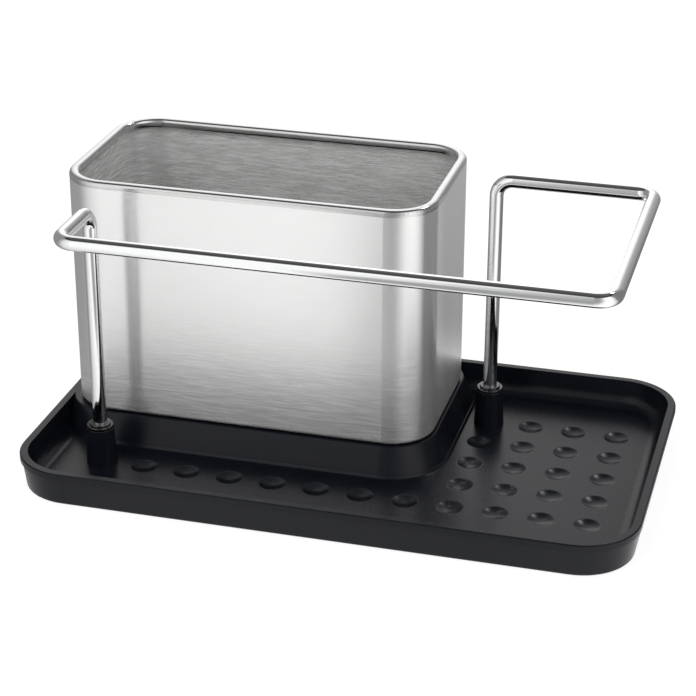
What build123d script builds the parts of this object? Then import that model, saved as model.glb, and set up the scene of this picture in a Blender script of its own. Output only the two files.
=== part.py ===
from build123d import *
import math
import os

"""Kitchen sink caddy: a black moulded drip tray with a raised plinth, a brushed steel holder
that lifts off the plinth, and a bent chromed wire rail bolted through two bosses of the tray.
Millimetres, +Z up. The origin is the middle of the tray's footprint on the surface it stands on,
+X runs along the tray to the right and +Y to the back."""

os.makedirs("parts", exist_ok=True)

# Small values that several features share
overrun = 2.0            # how far a cutting body runs past the face it opens
pick_margin = 0.05       # half the band in which edges at one height are picked
running_clearance = 0.05  # round metal pieces slipped over one another, on the radius

# Drip tray
tray_length = 262.0
tray_depth = 154.0
tray_height = 15.4
foot_drop = 0.5          # the feet carry the tray this far above the surface
rim_corner_radius = 25.0
rim_width = 3.4
rim_edge_round = 0.6
lip_height = 2.8
lip_overhang = 0.8
wall_draft = 1.5         # the outer wall leans in by this much down to the bottom
inner_wall_draft = 1.2
bottom_edge_round = 1.0
floor_thickness = 2.8
floor_blend_radius = 6.0

# Plinth, the raised part of the tray under the holder
plinth_margin = 0.8      # the plinth's top stands out past the sleeve by this much
plinth_flare = 6.3       # its front and right sides run out by this much down to the floor
plinth_foot_chamfer = 1.2
plinth_run_in = 0.9      # the plinth runs into the left and back rim by this much
plinth_wall = 2.4
rib_thickness = 1.6
rib_setback = 0.6        # the ribs stop short of the tray's underside
ribs_across = 6
ribs_along = 3
locator_height = 1.0     # less than the space under the holder's base
locator_clearance = 0.5

# Round dimples in the tray's floor
dimple_radius = 5.8
dimple_depth = 1.2
dimple_edge_round = 2.0
dimple_columns_right = 4
dimple_rows = 6
post_columns = 8         # the two posts stand this many dimple columns apart
post_rows = 4            # and this many dimple rows

# Wire rail
wire_diameter = 6.0
wire_bend_radius = 7.0
rail_height = 117.7      # centre of the wire's top run above the surface
front_bar_setback = 3.0  # centre of the front bar behind the rim's front edge
right_return_setback = 13.9
right_post_from_right = 80.5
right_post_from_back = 36.4
left_post_from_left = 29.5
left_post_from_front = 38.0

# Bosses of the tray that hold the wire's ends
boss_height = 19.8
boss_top_radius = 5.7
boss_foot_radius = 6.6
boss_edge_round = 0.5
socket_depth = 10.5
socket_clearance = 0.15
stud_diameter = 5.0
stud_hole_clearance = 0.2

# Collar that sits on the boss, and the washer and nut under the tray
collar_flange_radius = 5.6
collar_flange_height = 1.2
collar_step_radius = 4.5
collar_step_height = 0.9
collar_edge_round = 0.35
nut_across_flats = 8.0
nut_height = 3.2
nut_chamfer = 0.5
washer_radius = 4.8
washer_thickness = 1.0
nut_pocket_clearance = 0.4
stud_below_nut = 0.6
washer_ceiling = 6.6     # the face that the washer bears on, above the surface

# Rubber feet
foot_radius = 6.0
foot_seat_depth = 1.2
foot_seat_clearance = 0.15
foot_edge_round = 0.5
foot_inset = 21.0        # centre of a foot from the two nearest rim edges
foot_post_wall = 1.6

# Holder: steel sleeve and its drop-in base
holder_length = 159.8
holder_top = 121.1
holder_corner_radius = 19.0
holder_from_left = 5.7
holder_from_back = 5.6
holder_from_front = 60.5
sheet_thickness = 0.8
sleeve_lift = 0.5        # the sleeve's lower edge above the plinth
sleeve_bend_radius = 1.6
sleeve_flange_width = 3.4
bead_radius = 1.6        # outside of the curl along the sleeve's upper edge
base_plate_thickness = 2.2
base_wall_height = 9.0
base_wall_thickness = 1.6
base_side_clearance = 0.15
base_ring_width = 2.2
base_ring_clearance = 0.3
drain_slot_width = 4.0
drain_bridge = 12.0      # what stays between two slots in line
drain_columns = 6
drain_rows = 2
ring_notch_width = 6.0
ring_notch_height = 1.0

# Places worked out from the sizes above
floor_top = foot_drop + floor_thickness
half_length = tray_length / 2
half_depth = tray_depth / 2
right_post = (half_length - right_post_from_right, half_depth - right_post_from_back)
left_post = (-half_length + left_post_from_left, -half_depth + left_post_from_front)
dimple_pitch_x = (right_post[0] - left_post[0]) / post_columns
dimple_pitch_y = (right_post[1] - left_post[1]) / post_rows
holder_depth = tray_depth - holder_from_back - holder_from_front
holder_x = -half_length + holder_from_left + holder_length / 2
holder_y = half_depth - holder_from_back - holder_depth / 2
plinth_left = -half_length + rim_width - plinth_run_in
plinth_back = half_depth - rim_width + plinth_run_in
plinth_right = holder_x + holder_length / 2 + plinth_margin
plinth_front = holder_y - holder_depth / 2 - plinth_margin
plinth_x = (plinth_left + plinth_right) / 2
plinth_y = (plinth_front + plinth_back) / 2
plinth_length = plinth_right - plinth_left
plinth_depth = plinth_back - plinth_front
plinth_corner_radius = holder_corner_radius + plinth_margin
sleeve_bottom = tray_height + sleeve_lift
base_plate_bottom = sleeve_bottom + sheet_thickness
wire_radius = wire_diameter / 2
collar_top = boss_height + collar_flange_height + collar_step_height


def rounded(length, depth, radius, height, x=0, y=0):
    """A rounded rectangle lying flat at one height."""
    return Pos(x, y, height) * RectangleRounded(length, depth, radius)


def grown(length, depth, radius, by, height, x=0, y=0):
    """A rounded rectangle grown by the same margin on every side, its corners with it."""
    return rounded(length + 2 * by, depth + 2 * by, radius + by, height, x, y)


def edges_at(solid, height):
    """The edges of a solid that lie flat at one height."""
    return solid.edges().filter_by_position(Axis.Z, height - pick_margin, height + pick_margin)


def tray_outside():
    """The tray's drafted outer wall and, on top of it, the band of its overhanging lip."""
    under_lip = tray_height - lip_height
    size = (tray_length, tray_depth, rim_corner_radius)
    foot = grown(*size, -lip_overhang - wall_draft, foot_drop)
    shoulder = grown(*size, -lip_overhang, under_lip)
    wall = loft([foot, shoulder], ruled=True)
    wall = fillet(edges_at(wall, foot_drop), bottom_edge_round)
    lip = extrude(grown(*size, 0, under_lip), lip_height)
    lip = fillet(edges_at(lip, tray_height), rim_edge_round)
    return wall + lip


def tray_cavity():
    """What the tray holds when it has no plinth: drafted sides that blend into the floor."""
    size = (tray_length, tray_depth, rim_corner_radius)
    lean = inner_wall_draft / (tray_height - floor_top)
    floor = grown(*size, -rim_width - inner_wall_draft, floor_top)
    mouth = grown(*size, -rim_width + lean * overrun, tray_height + overrun)
    cavity = loft([floor, mouth], ruled=True)
    return fillet(edges_at(cavity, floor_top), floor_blend_radius)


def plinth_body():
    """The flared plinth with a narrow chamfer round its foot and a rounded upper edge."""
    size = (plinth_length, plinth_depth, plinth_corner_radius)
    place = (plinth_x, plinth_y)
    foot = grown(*size, plinth_flare, floor_top - overrun, *place)
    top = grown(*size, 0, tray_height, *place)
    body = loft([foot, top], ruled=True)
    body = fillet(edges_at(body, tray_height), rim_edge_round)
    skirt_low = grown(*size, plinth_flare + plinth_foot_chamfer, floor_top - overrun, *place)
    skirt_high = grown(*size, plinth_flare - plinth_foot_chamfer, floor_top + plinth_foot_chamfer, *place)
    return body + loft([skirt_low, skirt_high], ruled=True)


def plinth_hollow():
    """The open space under the plinth, left between its walls, with a lattice of ribs in it.
    At the front and the right it widens downwards with the plinth."""
    roof = tray_height - plinth_wall
    low = foot_drop - overrun
    inset = plinth_wall + lip_overhang + wall_draft
    length = plinth_length - 2 * inset
    depth = plinth_depth - 2 * inset
    radius = plinth_corner_radius - inset
    shift = plinth_flare / 2
    hollow = loft(
        [
            rounded(
                length + plinth_flare,
                depth + plinth_flare,
                radius,
                low,
                plinth_x + shift,
                plinth_y - shift,
            ),
            rounded(length, depth, radius, roof, plinth_x, plinth_y),
        ],
        ruled=True,
    )
    rib_height = roof - foot_drop - rib_setback
    rib_z = foot_drop + rib_setback + rib_height / 2
    for k in range(ribs_across):
        x = plinth_left + plinth_length * (k + 1) / (ribs_across + 1)
        rib = Box(rib_thickness, plinth_depth + 2 * plinth_flare, rib_height)
        hollow -= Pos(x, plinth_y, rib_z) * rib
    for k in range(ribs_along):
        y = plinth_front + plinth_depth * (k + 1) / (ribs_along + 1)
        rib = Box(plinth_length + 2 * plinth_flare, rib_thickness, rib_height)
        hollow -= Pos(plinth_x, y, rib_z) * rib
    return hollow


def over_floor(x, y):
    """Whether a dimple at this place is in the tray's floor, clear of plinth, bosses and wall."""
    reach = dimple_radius + plinth_flare + plinth_foot_chamfer
    if x - reach < plinth_right and y + reach > plinth_front:
        return False
    inside = rim_width + inner_wall_draft + floor_blend_radius + dimple_radius
    if abs(x) > half_length - inside or abs(y) > half_depth - inside:
        return False
    for post in (left_post, right_post):
        if math.hypot(x - post[0], y - post[1]) < dimple_radius + boss_foot_radius:
            return False
    return True


def dimple_places():
    """Every place of the dimple grid that is free, counted from the right post."""
    places = []
    for column in range(-post_columns, dimple_columns_right):
        for row in range(dimple_rows):
            x = right_post[0] + column * dimple_pitch_x
            y = right_post[1] - row * dimple_pitch_y
            if over_floor(x, y):
                places.append((x, y))
    return places


def dimple():
    """What one dimple takes from the floor: a shallow bowl, part of a sphere, whose edge is
    rounded by a second arc that meets the bowl and the floor without a kink."""
    both_radii = (dimple_radius**2 + dimple_depth**2) / (2 * dimple_depth)
    bowl_radius = both_radii - dimple_edge_round
    bottom = floor_top - dimple_depth
    bowl_middle = bottom + bowl_radius
    slope = math.asin(dimple_radius / both_radii)

    def on_bowl(angle):
        return (bowl_radius * math.sin(angle), bowl_middle - bowl_radius * math.cos(angle))

    def on_edge(angle):
        return (
            dimple_radius - dimple_edge_round * math.sin(angle),
            floor_top - dimple_edge_round * (1 - math.cos(angle)),
        )

    top = floor_top + overrun
    outline = [
        ThreePointArc((0, bottom), on_bowl(slope / 2), on_bowl(slope)),
        ThreePointArc(on_bowl(slope), on_edge(slope / 2), (dimple_radius, floor_top)),
        Line((dimple_radius, floor_top), (dimple_radius, top)),
        Line((dimple_radius, top), (0, top)),
        Line((0, top), (0, bottom)),
    ]
    return revolve(Plane.XZ * make_face(Curve() + outline), Axis.Z)


def boss(place):
    """A tapered boss round one end of the wire."""
    height = boss_height - floor_top
    body = Pos(*place, floor_top + height / 2) * Cone(boss_foot_radius, boss_top_radius, height)
    return fillet(edges_at(body, boss_height), boss_edge_round)


def boss_bores(place):
    """The blind socket for the wire, the hole for its stud, and the pocket for washer and nut."""
    socket_radius = wire_radius + socket_clearance
    socket = Pos(*place, boss_height - socket_depth / 2 + overrun / 2) * Cylinder(
        socket_radius, socket_depth + overrun
    )
    stud_hole = Pos(*place, boss_height / 2) * Cylinder(
        stud_diameter / 2 + stud_hole_clearance, boss_height
    )
    pocket_radius = washer_radius + nut_pocket_clearance
    pocket_height = washer_ceiling - foot_drop + overrun
    pocket = Pos(*place, washer_ceiling - pocket_height / 2) * Cylinder(pocket_radius, pocket_height)
    return socket + stud_hole + pocket


def foot_places():
    """Name and place of each rubber foot."""
    x = half_length - foot_inset
    y = half_depth - foot_inset
    return {
        "foot_front_left": (-x, -y),
        "foot_front_right": (x, -y),
        "foot_back_left": (-x, y),
        "foot_back_right": (x, y),
    }


def foot_post(place):
    """A post inside the plinth's hollow that carries a foot where the tray has no floor."""
    radius = foot_radius + foot_seat_clearance + foot_post_wall
    height = tray_height - plinth_wall / 2 - foot_drop
    return Pos(*place, foot_drop + height / 2) * Cylinder(radius, height)


def foot_seat(place):
    """The shallow round pocket that a foot is glued into."""
    height = foot_seat_depth + overrun
    radius = foot_radius + foot_seat_clearance
    return Pos(*place, foot_drop + foot_seat_depth - height / 2) * Cylinder(radius, height)


def holder_outline(by, height):
    """The sleeve's outer outline, grown by a margin, at one height."""
    return grown(holder_length, holder_depth, holder_corner_radius, by, height, holder_x, holder_y)


ring_inset = sleeve_flange_width + base_ring_clearance
locator_inset = ring_inset + base_ring_width + locator_clearance


def drip_tray():
    """The whole moulded tray: floor, wall, lip, plinth, bosses, dimples, ribs and pockets."""
    tray = tray_outside() - (tray_cavity() - plinth_body())
    tray -= plinth_hollow()
    tray += foot_post(foot_places()["foot_back_left"])
    tray += extrude(holder_outline(-locator_inset, tray_height), locator_height)
    bowl = dimple()
    tray -= [Pos(x, y) * bowl for x, y in dimple_places()]
    for place in (left_post, right_post):
        tray += boss(place)
        tray -= boss_bores(place)
    for place in foot_places().values():
        tray -= foot_seat(place)
    return tray


def rubber_foot(place):
    """A disc seated in the tray's underside, with its lower edge rounded."""
    height = foot_drop + foot_seat_depth
    disc = Pos(*place, height / 2) * Cylinder(foot_radius, height)
    return fillet(edges_at(disc, 0), foot_edge_round)


def wire_rail():
    """One wire: up from the left boss, forward, along the front, back, inward and down again."""
    front = -half_depth + front_bar_setback
    right = half_length - right_return_setback
    socket_floor = boss_height - socket_depth + running_clearance
    route = FilletPolyline(
        (*left_post, socket_floor),
        (*left_post, rail_height),
        (left_post[0], front, rail_height),
        (right, front, rail_height),
        (right, right_post[1], rail_height),
        (*right_post, rail_height),
        (*right_post, socket_floor),
        radius=wire_bend_radius,
    )
    section = Plane(origin=route @ 0, z_dir=route % 0) * Circle(wire_radius)
    rail = sweep(section, path=route)
    stud_end = washer_ceiling - washer_thickness - nut_height - stud_below_nut
    stud_height = socket_floor - stud_end
    for place in (left_post, right_post):
        stud = Pos(*place, stud_end + stud_height / 2) * Cylinder(stud_diameter / 2, stud_height)
        rail += stud
    return rail


def collar(place):
    """The stepped chromed collar on the wire that bears on the boss."""
    flange = Pos(*place, boss_height + collar_flange_height / 2) * Cylinder(
        collar_flange_radius, collar_flange_height
    )
    flange = fillet(edges_at(flange, boss_height + collar_flange_height), collar_edge_round)
    step_bottom = boss_height + collar_flange_height
    step = Pos(*place, step_bottom + collar_step_height / 2) * Cylinder(
        collar_step_radius, collar_step_height
    )
    step = fillet(edges_at(step, collar_top), collar_edge_round)
    bore = Pos(*place, collar_top / 2) * Cylinder(wire_radius + running_clearance, 2 * collar_top)
    return flange + step - bore


def washer(place):
    """The flat washer under the tray."""
    middle = washer_ceiling - washer_thickness / 2
    disc = Pos(*place, middle) * Cylinder(washer_radius, washer_thickness)
    hole_radius = stud_diameter / 2 + stud_hole_clearance
    return disc - Pos(*place, middle) * Cylinder(hole_radius, 2 * washer_thickness)


def nut(place):
    """The hexagon nut, with its corners turned down at both faces."""
    middle = washer_ceiling - washer_thickness - nut_height / 2
    hexagon = RegularPolygon(nut_across_flats / 2, 6, major_radius=False)
    body = Pos(*place, middle - nut_height / 2) * extrude(hexagon, nut_height)
    corner_radius = nut_across_flats / 2 / math.cos(math.pi / 6)
    turned = Pos(*place, middle) * Cylinder(corner_radius, nut_height)
    turned = chamfer(turned.edges().filter_by(GeomType.CIRCLE), nut_chamfer)
    bore_radius = stud_diameter / 2 + running_clearance
    return (body & turned) - Pos(*place, middle) * Cylinder(bore_radius, 2 * nut_height)


def sleeve_section():
    """The sheet's section at one side: bottom flange, bend, wall and the edge curled inwards.
    The first coordinate is measured outwards from the outer face, the second is the height."""
    t = sheet_thickness
    low = sleeve_bottom
    bend = sleeve_bend_radius
    bead = bead_radius
    middle_z = holder_top - bead
    low_z = middle_z - bead
    turn = math.sqrt(0.5)
    outline = [
        Line((-sleeve_flange_width, low), (-bend, low)),
        ThreePointArc((-bend, low), (-bend + bend * turn, low + bend - bend * turn), (0, low + bend)),
        Line((0, low + bend), (0, middle_z)),
        ThreePointArc((0, middle_z), (-bead, holder_top), (-2 * bead, middle_z)),
        ThreePointArc(
            (-2 * bead, middle_z), (-bead - bead * turn, middle_z - bead * turn), (-bead, low_z)
        ),
        Line((-bead, low_z), (-bead, low_z + t)),
        ThreePointArc(
            (-bead, low_z + t),
            (-bead - (bead - t) * turn, middle_z - (bead - t) * turn),
            (-2 * bead + t, middle_z),
        ),
        ThreePointArc((-2 * bead + t, middle_z), (-bead, holder_top - t), (-t, middle_z)),
        Line((-t, middle_z), (-t, low + bend)),
        ThreePointArc(
            (-t, low + bend),
            (-bend + (bend - t) * turn, low + bend - (bend - t) * turn),
            (-bend, low + t),
        ),
        Line((-bend, low + t), (-sleeve_flange_width, low + t)),
        Line((-sleeve_flange_width, low + t), (-sleeve_flange_width, low)),
    ]
    return make_face(Curve() + outline)


def holder_sleeve():
    """The section run round the rounded rectangle: four straight walls and four turned corners."""
    half_l = holder_length / 2
    half_d = holder_depth / 2
    r = holder_corner_radius
    section = sleeve_section()
    sides = [
        (half_l, 0, 0, holder_depth - 2 * r),
        (0, half_d, 90, holder_length - 2 * r),
        (-half_l, 0, 180, holder_depth - 2 * r),
        (0, -half_d, 270, holder_length - 2 * r),
    ]
    pieces = []
    for x, y, turn, run in sides:
        face = Plane.XZ * section
        wall = extrude(face, run / 2, both=True)
        pieces.append(Pos(x, y) * Rot(0, 0, turn) * wall)
    corner = revolve(Pos(r, 0) * (Plane.XZ * section), Axis.Z, 90)
    for x, y, turn in [(1, 1, 0), (-1, 1, 90), (-1, -1, 180), (1, -1, 270)]:
        pieces.append(Pos(x * (half_l - r), y * (half_d - r)) * Rot(0, 0, turn) * corner)
    sleeve = pieces[0] + pieces[1:]
    return Pos(holder_x, holder_y) * sleeve


def holder_base():
    """The moulded base that drops into the sleeve: a slotted plate with an upstand wall above
    and, below, a notched ring that passes the sleeve's flange and stands on the plinth."""
    side = -sheet_thickness - base_side_clearance
    plate = extrude(holder_outline(side, base_plate_bottom), base_plate_thickness)
    # the plate's lower edge clears the inside of the sleeve's bend
    plate = chamfer(edges_at(plate, base_plate_bottom), sleeve_bend_radius - sheet_thickness)
    wall_bottom = base_plate_bottom + base_plate_thickness
    wall_height = base_wall_height - base_plate_thickness
    wall = extrude(holder_outline(side, wall_bottom), wall_height)
    wall -= extrude(holder_outline(side - base_wall_thickness, wall_bottom), wall_height)
    ring_height = base_plate_bottom - tray_height
    ring = extrude(holder_outline(-ring_inset, tray_height), ring_height)
    ring -= extrude(holder_outline(-ring_inset - base_ring_width, tray_height), ring_height)
    # notches let water out from under the plate
    notch_z = tray_height + ring_notch_height / 2
    for k in (-1, 1):
        x = holder_x + k * holder_length / 4
        ring -= Pos(x, holder_y, notch_z) * Box(ring_notch_width, holder_depth, ring_notch_height)
    ring -= Pos(holder_x, holder_y, notch_z) * Box(holder_length, ring_notch_width, ring_notch_height)
    base = plate + wall + ring
    # drain slots in the plate
    inside_length = holder_length - 2 * ring_inset - 2 * base_ring_width
    inside_depth = holder_depth - 2 * ring_inset - 2 * base_ring_width
    slot_length = inside_depth / drain_rows - drain_bridge
    slot = extrude(
        SlotOverall(slot_length, drain_slot_width, rotation=90), base_plate_thickness + 2 * overrun
    )
    for column in range(drain_columns):
        for row in range(drain_rows):
            x = holder_x + inside_length * ((column + 0.5) / drain_columns - 0.5)
            y = holder_y + inside_depth * ((row + 0.5) / drain_rows - 0.5)
            base -= Pos(x, y, base_plate_bottom - overrun) * slot
    return base


def save(name, shape):
    """Write one piece to its file."""
    export_step(shape, f"parts/{name}.step")


save("drip_tray", drip_tray())
save("rail", wire_rail())
for side, place in (("left", left_post), ("right", right_post)):
    save(f"rail_collar_{side}", collar(place))
    save(f"rail_washer_{side}", washer(place))
    save(f"rail_nut_{side}", nut(place))
for name, place in foot_places().items():
    save(name, rubber_foot(place))
save("holder_sleeve", holder_sleeve())
save("holder_base", holder_base())
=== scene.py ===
import math

import bpy
import numpy as np
from mathutils import Matrix, Vector


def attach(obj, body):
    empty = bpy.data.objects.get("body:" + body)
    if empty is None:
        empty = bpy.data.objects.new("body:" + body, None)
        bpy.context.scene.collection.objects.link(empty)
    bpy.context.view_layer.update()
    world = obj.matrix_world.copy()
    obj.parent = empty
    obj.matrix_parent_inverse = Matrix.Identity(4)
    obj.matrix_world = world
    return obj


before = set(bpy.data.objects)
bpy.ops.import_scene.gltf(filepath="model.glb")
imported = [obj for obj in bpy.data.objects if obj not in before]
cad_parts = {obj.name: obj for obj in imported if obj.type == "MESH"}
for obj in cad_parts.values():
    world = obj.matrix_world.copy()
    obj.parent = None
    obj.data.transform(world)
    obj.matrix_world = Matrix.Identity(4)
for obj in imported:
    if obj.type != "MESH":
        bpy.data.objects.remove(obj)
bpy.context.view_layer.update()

MM = 0.001

# The holder's outline is a rounded rectangle: its middle, its half sides and its corner radius.
HOLDER_MIDDLE = (-45.4 * MM, 27.45 * MM)
HOLDER_HALF = (79.9 * MM, 43.95 * MM)
HOLDER_CORNER = 19.0 * MM

# The studio's pale walls and the dim flags between them: direction in degrees, and brightness.
# Directions run from the back (-180) by the left (-90), the front (0) and the right (90) to the
# back again.
WALLS = [
    (-180, 0.88), (-176, 0.94), (-170, 1.3), (-160, 1.3), (-150, 0.9), (-142, 0.35),
    (-131, 0.28), (-83, 0.28), (-71, 0.45), (-59, 0.75), (-47, 0.85), (-24, 1.1),
    (-15, 1.05), (-8, 0.45), (0, 0.38), (12, 0.36), (22, 0.45), (34, 0.8),
    (47, 1.15), (60, 1.25), (72, 1.1), (83, 0.75), (93, 0.22), (135, 0.2),
    (150, 0.2), (160, 0.36), (170, 0.46), (176, 0.65), (180, 0.88),
]


class Value:
    """A number or colour that leaves a node. Arithmetic on it adds Math nodes to its tree."""

    def __init__(self, tree, socket):
        self.tree = tree
        self.socket = socket

    def __add__(self, other):
        return self.tree.math("ADD", self, other)

    def __sub__(self, other):
        return self.tree.math("SUBTRACT", self, other)

    def __rsub__(self, other):
        return self.tree.math("SUBTRACT", other, self)

    def __mul__(self, other):
        return self.tree.math("MULTIPLY", self, other)

    def __truediv__(self, other):
        return self.tree.math("DIVIDE", self, other)

    def __rtruediv__(self, other):
        return self.tree.math("DIVIDE", other, self)

    __radd__ = __add__
    __rmul__ = __mul__


class Tree:
    """The node tree of a material or of the world, emptied and built up again."""

    def __init__(self, owner):
        owner.use_nodes = True
        self.nodes = owner.node_tree.nodes
        self.links = owner.node_tree.links
        self.nodes.clear()

    def node(self, kind, sockets, out=0, stops=None, **settings):
        """Adds a node: first its settings and its ramp's stops, which are places and greys, then
        the values or links of its sockets. Gives one of its outputs."""
        made = self.nodes.new(kind)
        for name, value in settings.items():
            setattr(made, name, value)
        if stops:
            ramp = made.color_ramp
            while len(ramp.elements) < len(stops):
                ramp.elements.new(1.0)
            # All places come before the greys, because a ramp sorts its elements by place.
            for element, (place, grey) in zip(ramp.elements, stops):
                element.position = place
            for element, (place, grey) in zip(ramp.elements, stops):
                element.color = (grey, grey, grey, 1.0)
        for name, value in sockets.items():
            socket = made.inputs[name]
            if isinstance(value, Value):
                self.links.new(value.socket, socket)
            else:
                socket.default_value = value
        return Value(self, made.outputs[out])

    def math(self, operation, a, b=0.0):
        """One Math node on two numbers."""
        return self.node("ShaderNodeMath", {0: a, 1: b}, operation=operation)

    def ramp(self, value, stops):
        """A grey that follows a value through stops."""
        return self.node("ShaderNodeValToRGB", {"Fac": value}, stops=stops)

    def band(self, value, low, high):
        """0 below low and 1 above high, with a smooth step between."""
        sockets = {"Value": value, "From Min": low, "From Max": high}
        return self.node("ShaderNodeMapRange", sockets, interpolation_type="SMOOTHSTEP")

    def noise(self, vector, scale, detail):
        """Noise from 0 to 1 over a vector."""
        sockets = {"Vector": vector, "Scale": scale, "Detail": detail}
        return self.node("ShaderNodeTexNoise", sockets)

    def stretched_noise(self, vector, scales):
        """Soft noise from 0 to 1, with its own scale along each axis."""
        stretched = self.node("ShaderNodeVectorMath", {0: vector, 1: scales}, operation="MULTIPLY")
        return self.noise(stretched, 1.0, 1.0)

    def place(self):
        """A point of the piece, in Object coordinates."""
        return self.node("ShaderNodeTexCoord", {}, out=3)

    def direction(self):
        """A direction in the world."""
        return self.node("ShaderNodeTexCoord", {}, out=0)

    def parts(self, vector):
        """The three parts of a vector."""
        split = self.node("ShaderNodeSeparateXYZ", {0: vector})
        return [Value(self, s) for s in split.socket.node.outputs]

    def rays(self):
        """Two values: 1 for the camera's rays or else 0, and 1 for glossy rays or else 0."""
        path = self.node("ShaderNodeLightPath", {}).socket.node
        return [Value(self, path.outputs[name]) for name in ("Is Camera Ray", "Is Glossy Ray")]

    def bump(self, height, distance, strength=1.0):
        """A normal from a height."""
        sockets = {"Height": height, "Distance": distance, "Strength": strength}
        return self.node("ShaderNodeBump", sockets)

    def grey(self, value, dark, light):
        """A colour between two, by a value from 0 to 1."""
        mix = self.nodes.new("ShaderNodeMix")
        mix.data_type = "RGBA"
        colours = [s for s in mix.inputs if s.type == "RGBA"]
        colours[0].default_value = (*dark, 1.0)
        colours[1].default_value = (*light, 1.0)
        self.links.new(value.socket, mix.inputs[0])
        return Value(self, [s for s in mix.outputs if s.type == "RGBA"][0])

    def end(self, shader, kind="ShaderNodeOutputMaterial"):
        """Ends the tree in the surface of a material, or of the world."""
        output = self.nodes.new(kind)
        self.links.new(shader.socket, output.inputs["Surface"])


def material(name):
    """A new material and its empty tree."""
    made = bpy.data.materials.new(name)
    return made, Tree(made)


def inside_depth(t, x, y):
    """How deep a point lies inside the holder's outline. With x, y from its middle, half sides
    hx, hy and corner radius r it is r - |(max(|x| - hx + r, 0), max(|y| - hy + r, 0))|."""
    beyond = [
        t.math("MAXIMUM", t.math("ABSOLUTE", v - middle) - (half - HOLDER_CORNER), 0.0)
        for v, middle, half in zip((x, y), HOLDER_MIDDLE, HOLDER_HALF)
    ]
    return HOLDER_CORNER - t.math("SQRT", beyond[0] * beyond[0] + beyond[1] * beyond[1])


def brushed_steel():
    """Steel brushed round the holder, with gloss drawn out up and down and sharp sideways.
    Outside, the level scratches are hardly seen at the top and show towards the foot, where the
    colour is also painted darker: painted shade that stands in for the dark tray mirrored low on
    the sleeve. Inside they show all over, on a duller sheet. `inside` steps from 0 to 1 half-way
    through the sheet."""
    made, t = material("brushed_steel_sheet")
    place = t.place()
    x, y, z = t.parts(place)
    inside = t.band(inside_depth(t, x, y), 0.35 * MM, 0.45 * MM)
    low = 1.0 - t.band(z, 25 * MM, 80 * MM)
    streak = t.stretched_noise(place, (90.0, 90.0, 2600.0))
    scratch = t.stretched_noise(place, (150.0, 150.0, 3200.0))
    grain = t.band(streak, 0.34, 0.66)
    cut = t.band(scratch, 0.45, 0.60)
    spark = t.band(streak, 0.54, 0.62)
    # Painted shade: outside, the colour falls by 0.11 towards the foot, standing in for the dark
    # tray mirrored there.
    outer = 0.94 - low * 0.11 + (cut * 0.4 + spark * 0.6) * (0.02 + low * 0.28)
    inner = 0.60 + cut * 0.20 + spark * 0.45
    bright = outer * (1.0 - inside) + inner * inside
    depth = grain * (0.02 + low * 0.08 + inside * 0.03)
    shader = t.node("ShaderNodeBsdfPrincipled", {
        "Base Color": t.grey(bright, (0.34, 0.335, 0.325), (0.97, 0.97, 0.965)),
        "Metallic": 0.88 - low * 0.08 - inside * 0.3,
        "Roughness": 0.24 + grain * 0.03 + inside * 0.02,
        "Anisotropic": 1.0,
        "Anisotropic Rotation": 0.25,
        "Normal": t.bump(depth, 0.05 * MM),
    })
    t.end(shader)
    return made


def bare_metal(name, dark, light, smooth, dull, scale, detail=2.0):
    """Polished or plated metal under a faint haze: where the haze goes from 0 to 1, its colour
    goes from dark to light and its roughness from smooth to dull."""
    made, t = material(name)
    haze = t.noise(t.place(), scale, detail)
    shader = t.node("ShaderNodeBsdfPrincipled", {
        "Base Color": t.grey(haze, dark, light),
        "Metallic": 1.0,
        "Roughness": smooth + haze * (dull - smooth),
    })
    t.end(shader)
    return made


def moulded_black(name, rough):
    """Black moulded plastic with a fine satin grain."""
    made, t = material(name)
    place = t.place()
    grain = t.noise(place, 2200.0, 2.0)
    cloud = t.noise(place, 60.0, 2.0)
    shader = t.node("ShaderNodeBsdfPrincipled", {
        "Base Color": t.grey(cloud, (0.0045, 0.0052, 0.0085), (0.0075, 0.0085, 0.0130)),
        "Roughness": rough + grain * 0.06 + cloud * 0.03,
        "Specular IOR Level": 0.24,
        "Normal": t.bump(grain, 0.02 * MM, strength=0.3),
    })
    t.end(shader)
    return made


def rubber():
    """Matt black rubber."""
    made, t = material("foot_rubber")
    grain = t.noise(t.place(), 1500.0, 3.0)
    shader = t.node("ShaderNodeBsdfPrincipled", {
        "Base Color": t.grey(grain, (0.018, 0.018, 0.018), (0.035, 0.035, 0.035)),
        "Roughness": 0.75 + grain * 0.15,
        "Normal": t.bump(grain, 0.05 * MM, strength=0.4),
    })
    t.end(shader)
    return made


def dress(nodes, made):
    """Gives CAD nodes one material."""
    for name in nodes:
        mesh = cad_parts[name].data
        mesh.materials.clear()
        mesh.materials.append(made)


chrome = bare_metal(
    "chrome_plate", (0.86, 0.865, 0.875), (0.93, 0.935, 0.94),
    smooth=0.025, dull=0.055, scale=400.0)
# Painted shade: a near-black copy of the chrome for the collars, standing in for the dark
# surroundings mirrored in them.
chrome_with_painted_shade = bare_metal(
    "chrome_with_painted_shade", (0.09, 0.09, 0.095), (0.14, 0.14, 0.145),
    smooth=0.025, dull=0.055, scale=400.0)
polished_steel = bare_metal(
    "polished_steel", (0.66, 0.66, 0.655), (0.74, 0.74, 0.735),
    smooth=0.16, dull=0.20, scale=250.0)
zinc_plate = bare_metal(
    "zinc_plate", (0.55, 0.56, 0.58), (0.70, 0.71, 0.72),
    smooth=0.25, dull=0.40, scale=700.0, detail=3.0)

dress(["holder_sleeve"], brushed_steel())
dress(["rail"], chrome)
# The collars get the chrome whose colour is painted near-black as painted shade.
dress(["rail_collar_left", "rail_collar_right"], chrome_with_painted_shade)
dress(["drip_tray"], moulded_black("moulded_black", 0.22))
dress(["holder_base"], moulded_black("base_black", 0.36))
dress([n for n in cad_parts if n.startswith("foot_")], rubber())
dress([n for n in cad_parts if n.startswith(("rail_nut", "rail_washer"))], zinc_plate)


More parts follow.
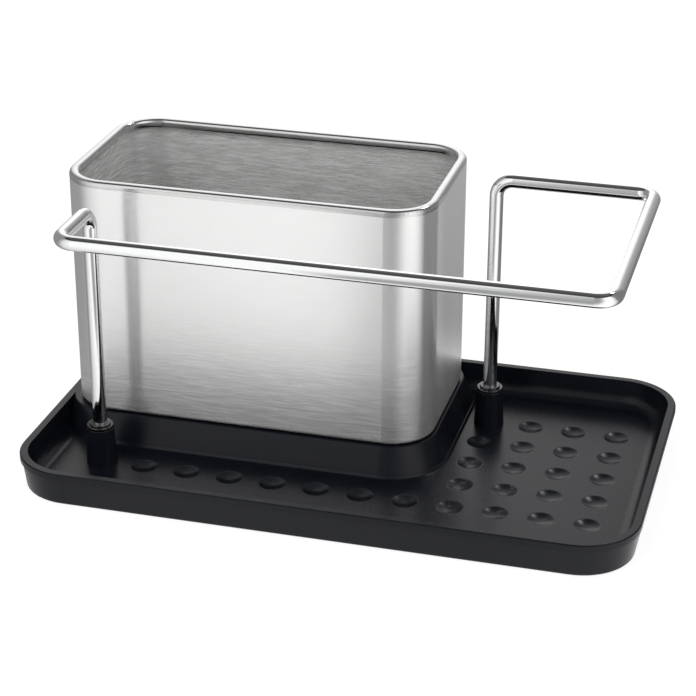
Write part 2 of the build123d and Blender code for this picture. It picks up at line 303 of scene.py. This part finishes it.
def curled_edge():
    """The bead that the sleeve's sheet is curled into. Its path is a rounded rectangle: round
    each corner's centre c, points c + r u with u = (cos a, sin a), where a runs through that
    corner's quarter turn and r = corner + proud - radius. Its section is a slightly squared
    circle, |x|^n + |z|^n = radius^n with n = squared, so that it lies flush with the sleeve's
    side and top: path + radius * (u e(cos b) + up e(sin b)), where e(v) = sign(v) |v|^(2/n)."""
    steps, facets = 18, 48
    radius, proud, squared = 2.17 * MM, 0.04 * MM, 2.75
    level = 118.97 * MM
    middle = np.array(HOLDER_MIDDLE)
    half = np.array(HOLDER_HALF)
    quarter = np.arange(4)[:, None]
    a = ((quarter + np.linspace(0.0, 1.0, steps)) * (math.pi / 2)).ravel()
    u = np.stack([np.cos(a), np.sin(a)], axis=1)
    signs = np.repeat(np.array([[1, 1], [-1, 1], [-1, -1], [1, -1]]), steps, axis=0)
    path = middle + signs * (half - HOLDER_CORNER) + (HOLDER_CORNER + proud - radius) * u
    b = np.linspace(0.0, 2 * math.pi, facets, endpoint=False)
    out, up = (radius * np.sign(v) * np.abs(v) ** (2 / squared) for v in (np.cos(b), np.sin(b)))
    points = np.empty((len(a), facets, 3))
    points[:, :, :2] = path[:, None, :] + out[None, :, None] * u[:, None, :]
    points[:, :, 2] = level + up
    i, j = np.meshgrid(np.arange(len(a)), np.arange(facets), indexing="ij")
    next_i, next_j = (i + 1) % len(a), (j + 1) % facets
    corners = [(i, j), (next_i, j), (next_i, next_j), (i, next_j)]
    faces = np.stack([row * facets + column for row, column in corners], axis=-1)
    mesh = bpy.data.meshes.new("curled_edge")
    mesh.from_pydata(points.reshape(-1, 3).tolist(), [], faces.reshape(-1, 4).tolist())
    mesh.polygons.foreach_set("use_smooth", np.ones(len(mesh.polygons), dtype=bool))
    mesh.materials.append(polished_steel)
    piece = bpy.data.objects.new("curled_edge", mesh)
    bpy.context.scene.collection.objects.link(piece)
    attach(piece, "holder")


curled_edge()


def walls(t, x, y):
    """Brightness of the studio all round, by the direction (x, y)."""
    turn = t.math("ARCTAN2", x, 0.0 - y) / (2 * math.pi) + 0.5
    return t.ramp(turn, [(0.5 + degrees / 360, grey) for degrees, grey in WALLS])


def studio():
    """World: white to the camera. To everything else it is the studio's walls under a dark
    ceiling, which is lighter towards the back. z is the sine of a direction's height: the walls
    fade out from 0.76 to 0.85, and the ceiling begins at 0.80."""
    world = bpy.data.worlds.new("studio")
    bpy.context.scene.world = world
    t = Tree(world)
    x, y, z = t.parts(t.direction())
    wall_share = t.ramp(z, [(0.76, 1.0), (0.85, 0.0)])
    ceiling = t.ramp(z, [(0.80, 0.0), (0.85, 0.02), (0.91, 0.12), (1.0, 0.13)])
    ceiling = ceiling * (0.62 + t.band(y, 0.05, 0.30) * 0.6)
    to_camera = t.rays()[0]
    strength = to_camera + (1.0 - to_camera) * (walls(t, x, y) * wall_share + ceiling)
    white = (1.0, 1.0, 1.0, 1.0)
    shader = t.node("ShaderNodeBackground", {"Color": white, "Strength": strength})
    t.end(shader, kind="ShaderNodeOutputWorld")


def floor():
    """A wide pale floor that is white to the camera and to gloss, and keeps the soft shadow.
    Further out, gloss shows it dimmed more and more by the walls' flags."""
    size = 6.0
    dims_from, dims_to = 0.09, 0.17
    whiteness = 0.84
    corners = [(-size, -size, 0), (size, -size, 0), (size, size, 0), (-size, size, 0)]
    mesh = bpy.data.meshes.new("floor")
    mesh.from_pydata(corners, [], [(0, 1, 2, 3)])
    made = bpy.data.objects.new("floor", mesh)
    bpy.context.scene.collection.objects.link(made)
    pale, t = material("pale_floor")
    to_camera, glossy = t.rays()
    x, y = t.parts(t.place())[:2]
    away = t.band(t.math("SQRT", x * x + y * y), dims_from, dims_to)
    seen = 1.0 - away + away * walls(t, x, y)
    lit = t.node("ShaderNodeBsdfDiffuse", {"Color": (0.8, 0.8, 0.8, 1.0)})
    faint = t.node("ShaderNodeBsdfDiffuse", {"Color": (0.35, 0.35, 0.35, 1.0)})
    mirrored = t.node("ShaderNodeEmission", {"Color": seen, "Strength": 1.0})
    glow = t.node("ShaderNodeEmission", {"Color": to_camera * whiteness, "Strength": 1.0})
    shown = t.node("ShaderNodeAddShader", {0: faint, 1: glow})
    direct = t.node("ShaderNodeMixShader", {0: to_camera, 1: lit, 2: shown})
    t.end(t.node("ShaderNodeMixShader", {0: glossy, 1: direct, 2: mirrored}))
    mesh.materials.append(pale)


def softbox(name, place, target, side, watts, mirrored=False):
    """A square area lamp that faces a point. Gloss shows it only where it is mirrored."""
    lamp = bpy.data.lights.new(name, "AREA")
    lamp.shape = "RECTANGLE"
    lamp.size = side
    lamp.size_y = side
    lamp.energy = watts
    made = bpy.data.objects.new(name, lamp)
    bpy.context.scene.collection.objects.link(made)
    made.location = place
    made.rotation_euler = (Vector(target) - Vector(place)).to_track_quat("-Z", "Y").to_euler()
    made.visible_glossy = mirrored


def camera():
    """The camera that the photograph's edges were solved for: where it stands, and in degrees how
    far it looks to the left of straight back, how far down, and its roll."""
    stand = (0.2037, -0.7654, 0.4205)
    heading, down, roll = 15.134, 24.985, 0.159
    focal_pixels, width_pixels = 2066.57, 696
    lens = bpy.data.cameras.new("camera")
    lens.sensor_width = 36.0
    lens.lens = focal_pixels * lens.sensor_width / width_pixels
    lens.clip_start = 0.01
    made = bpy.data.objects.new("camera", lens)
    bpy.context.scene.collection.objects.link(made)
    swing = Matrix.Rotation(math.radians(heading), 4, "Z")
    tilt = Matrix.Rotation(math.radians(90 - down), 4, "X")
    lean = Matrix.Rotation(math.radians(roll), 4, "Z")
    made.matrix_world = Matrix.Translation(stand) @ (swing @ tilt) @ lean
    bpy.context.scene.camera = made


studio()
floor()
softbox("key", (-0.7, -1.1, 1.3), (0, 0, 0.05), side=0.9, watts=9.0)
softbox("fill", (1.1, -0.6, 1.0), (0, 0, 0.05), side=0.8, watts=4.0)
softbox("rim_light", (0.40, 0.84, 1.18), (0, 0, 0), side=0.12, watts=2.1, mirrored=True)
camera()

scene = bpy.context.scene
scene.view_settings.view_transform = "Standard"
